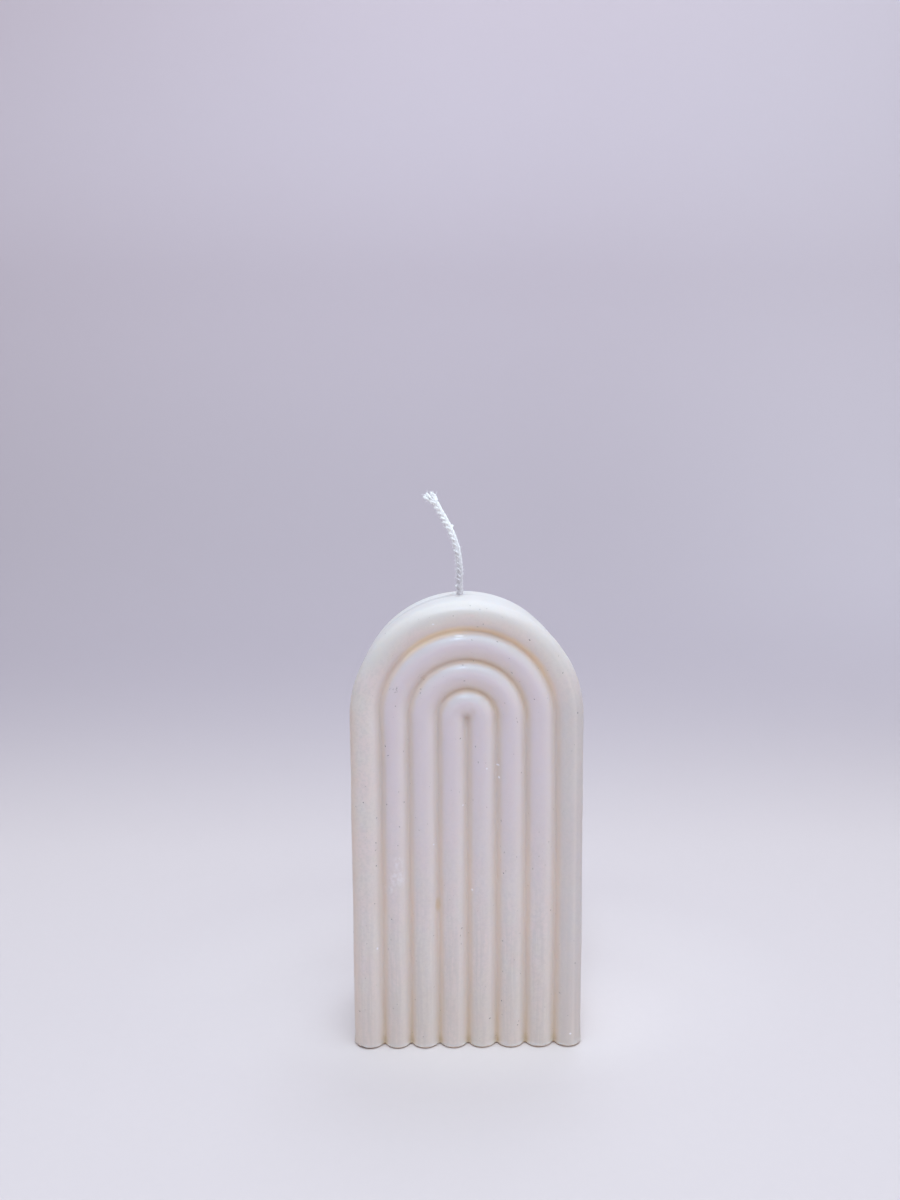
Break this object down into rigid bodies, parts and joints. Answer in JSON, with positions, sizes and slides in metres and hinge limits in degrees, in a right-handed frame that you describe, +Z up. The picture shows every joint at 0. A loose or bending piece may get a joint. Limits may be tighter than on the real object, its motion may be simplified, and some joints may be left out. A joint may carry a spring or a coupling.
{
  "type": "arch pillar candle",
  "caption": "Free-standing arch candle: a thick ivory wax slab with a round top, nested arch ribs on both faces and a bendable cotton wick cast in along its height.",
  "frame": {"origin": "middle of the base, on the surface the candle stands on", "axes": "+Z up towards the wick, +X across the legs to the right as the ribbed front is seen, -Y out of the ribbed front"},
  "size_m": [0.06, 0.0314, 0.1453],
  "materials": {
    "wax": "satin ivory wax, slightly translucent, with a faint bloom",
    "wick": "white braided cotton, waxed at the root, frayed at the tip"
  },
  "bodies": {
    "candle": {"wax_body": "wax", "wick_stem": "wick"},
    "wick_tail": {"wick_tail": "wick"}
  },
  "joints": [
    {"name": "wick_flex", "type": "hinge", "parent": "candle", "child": "wick_tail", "pos_m": [-0.0014, 0, 0.1192], "axis": [0, 1, 0], "range_deg": [-70, 80]}
  ]
}
